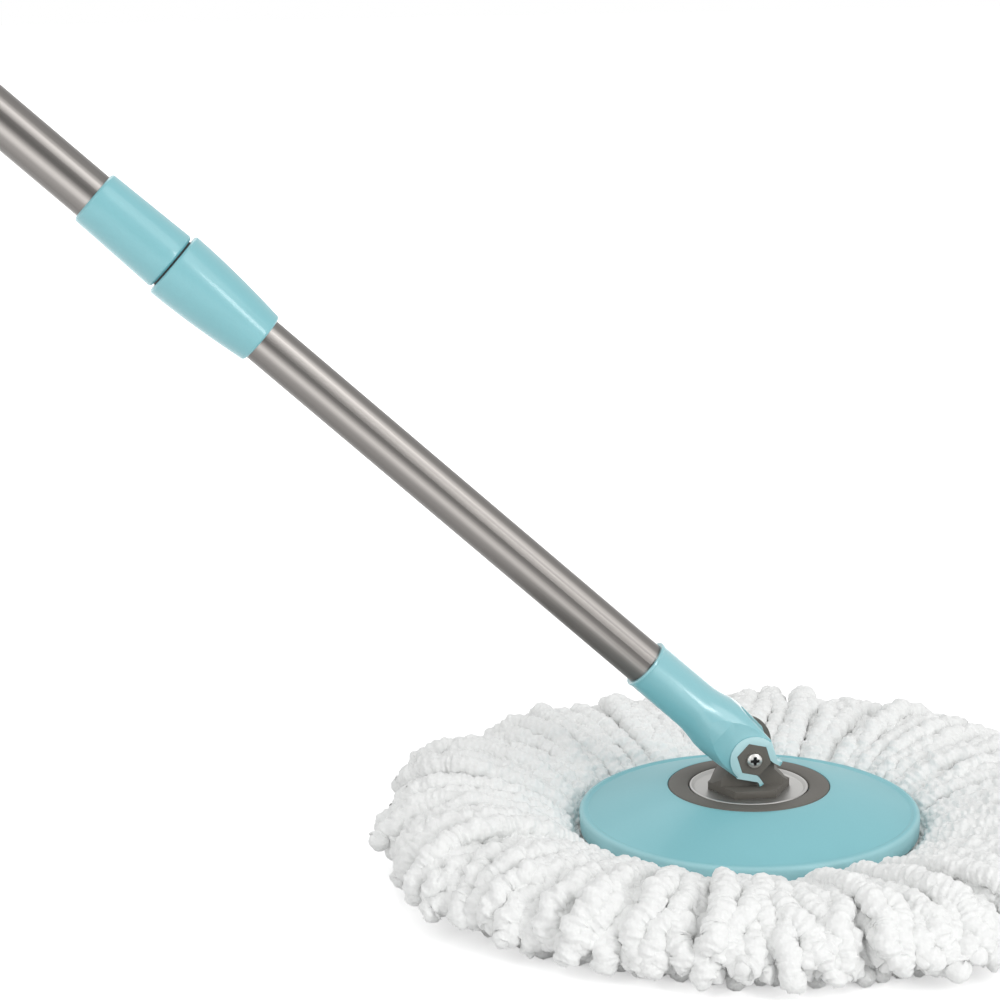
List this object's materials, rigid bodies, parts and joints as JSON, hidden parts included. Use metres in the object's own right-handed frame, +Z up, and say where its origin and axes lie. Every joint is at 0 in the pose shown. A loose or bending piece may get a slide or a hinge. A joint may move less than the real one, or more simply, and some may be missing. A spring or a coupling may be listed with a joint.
{
  "type": "spin mop",
  "caption": "Spin mop with a round strand head on a swivelling disc, a tilting clip-on fork and a telescoping handle with a twist lock.",
  "frame": {"origin": "centre of the strand head's underside, where the disc's axis meets the floor", "axes": "+Z up along the disc's axis, the hinge axis along Y, the handle leaning towards -X at rest"},
  "size_m": [1.0334, 0.33, 0.8514],
  "materials": {
    "strands": "bumpy twisted microfibre",
    "turquoise_plastic": "satin moulded",
    "taupe_plastic": "matt moulded",
    "white_plastic": "matt moulded",
    "dark_plastic": "matt moulded",
    "brushed_tube": "brushed along its length",
    "bright_dish": "satin plated",
    "bearing_steel": "ground",
    "fastener_steel": "zinc plated"
  },
  "bodies": {
    "head": {"mop_strands": "strands", "strand_ring": "white_plastic", "mop_disc": "turquoise_plastic", "bearing_outer_race": "bearing_steel", "bearing_balls": "bearing_steel", "ball_cage": "dark_plastic", "bearing_retainer": "bearing_steel", "retainer_screws": "fastener_steel", "trim_ring": "taupe_plastic", "hub_cap": "turquoise_plastic"},
    "swivel": {"bearing_inner_race": "bearing_steel", "swivel_dish": "bright_dish", "knuckle": "taupe_plastic", "stem_washer": "fastener_steel", "stem_screw": "fastener_steel"},
    "lower_handle": {"fork": "turquoise_plastic", "hinge_pin": "taupe_plastic", "hinge_key": "taupe_plastic", "hinge_screw": "fastener_steel", "tube_plug": "dark_plastic", "tube_screw": "fastener_steel", "lower_tube": "brushed_tube", "slide_bush": "dark_plastic"},
    "upper_handle": {"collet": "dark_plastic", "upper_collar": "turquoise_plastic", "upper_tube": "brushed_tube", "grip": "turquoise_plastic", "end_cap": "taupe_plastic"},
    "lock": {"lock_nut": "turquoise_plastic"}
  },
  "joints": [
    {"name": "head_swivel", "type": "hinge", "parent": "head", "child": "swivel", "pos_m": [0, 0, 0.0255], "axis": [0, 0, 1], "continuous": true},
    {"name": "handle_tilt", "type": "hinge", "parent": "swivel", "child": "lower_handle", "pos_m": [0, 0, 0.052], "axis": [0, 1, 0], "range_deg": [-37.6, 132.4]},
    {"name": "tube_slide", "type": "slide", "parent": "lower_handle", "child": "upper_handle", "axis": [-0.7361, 0, 0.6769], "range_m": [0, 0.33]},
    {"name": "lock_turn", "type": "hinge", "parent": "upper_handle", "child": "lock", "pos_m": [-0.2396, 0, 0.27232], "axis": [-0.7361, 0, 0.6769], "range_deg": [0, 90]}
  ]
}
